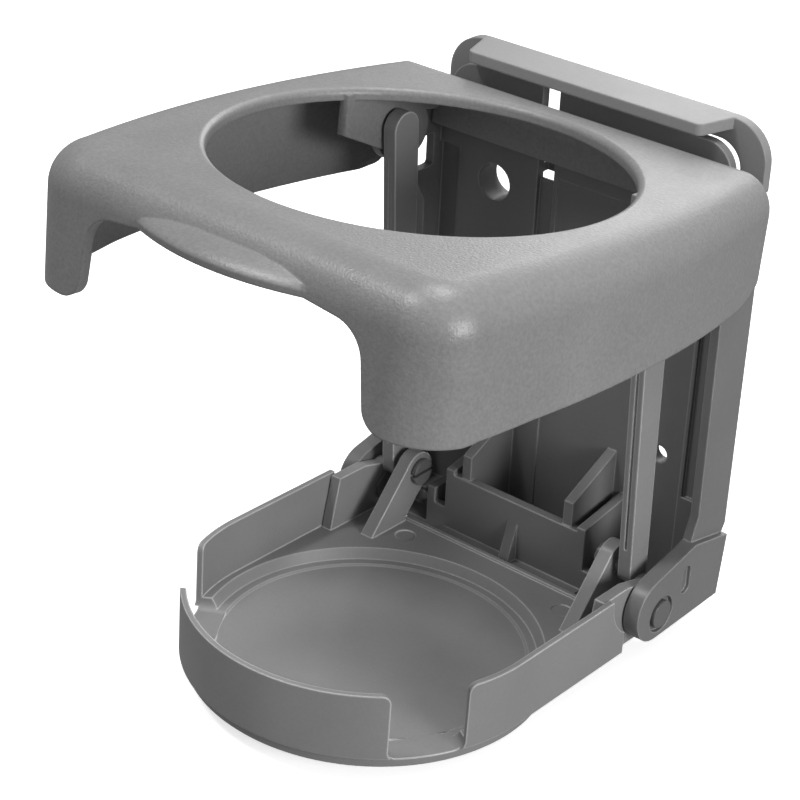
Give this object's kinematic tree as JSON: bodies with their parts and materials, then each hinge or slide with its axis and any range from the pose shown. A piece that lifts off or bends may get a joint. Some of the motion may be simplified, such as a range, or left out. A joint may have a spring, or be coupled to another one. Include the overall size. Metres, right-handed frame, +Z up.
{
  "type": "folding cup holder",
  "caption": "Wall-mounted folding cup holder with a round cup ring, a dished tray and side links that fold flat together.",
  "frame": {"origin": "middle of the flat rear face that goes against the wall", "axes": "+Y into the wall, +Z up, +X to the holder's right seen from its front"},
  "size_m": [0.1018, 0.1132, 0.109],
  "materials": {
    "cover_grey": "matte",
    "frame_grey": "matte",
    "inner_grey": "satin",
    "tray_grey": "matte",
    "pin_grey": "satin"
  },
  "bodies": {
    "frame": {"mounting_plate": "frame_grey", "back_housing": "inner_grey", "ring_pin_left": "pin_grey", "ring_pin_right": "pin_grey", "tray_pin_left": "pin_grey", "tray_pin_right": "pin_grey"},
    "ring": {"ring_cover": "cover_grey", "link_upper_pin_left": "pin_grey", "link_upper_pin_right": "pin_grey"},
    "tray": {"tray": "tray_grey", "link_lower_pin_left": "pin_grey", "link_lower_pin_right": "pin_grey"},
    "link_left": {"link_left": "tray_grey"},
    "link_right": {"link_right": "tray_grey"}
  },
  "joints": [
    {"name": "ring_fold", "type": "hinge", "parent": "frame", "child": "ring", "pos_m": [0, -0.0203, 0.0378], "axis": [1, 0, 0], "range_deg": [0, 90]},
    {"name": "tray_fold", "type": "hinge", "parent": "frame", "child": "tray", "pos_m": [0, -0.0236, -0.0434], "axis": [1, 0, 0], "range_deg": [-88.6, 0]},
    {"name": "link_left_swing", "type": "hinge", "parent": "ring", "child": "link_left", "pos_m": [0, -0.026, 0.0405], "axis": [1, 0, 0], "range_deg": [-87.9, 0]},
    {"name": "link_right_swing", "type": "hinge", "parent": "ring", "child": "link_right", "pos_m": [0, -0.026, 0.0405], "axis": [1, 0, 0], "range_deg": [-87.9, 0]}
  ],
  "couplings": [
    {"joint": "tray_fold", "follows": "ring_fold", "ratio": -0.9844},
    {"joint": "link_left_swing", "follows": "ring_fold", "ratio": -0.976},
    {"joint": "link_right_swing", "follows": "ring_fold", "ratio": -0.976}
  ]
}
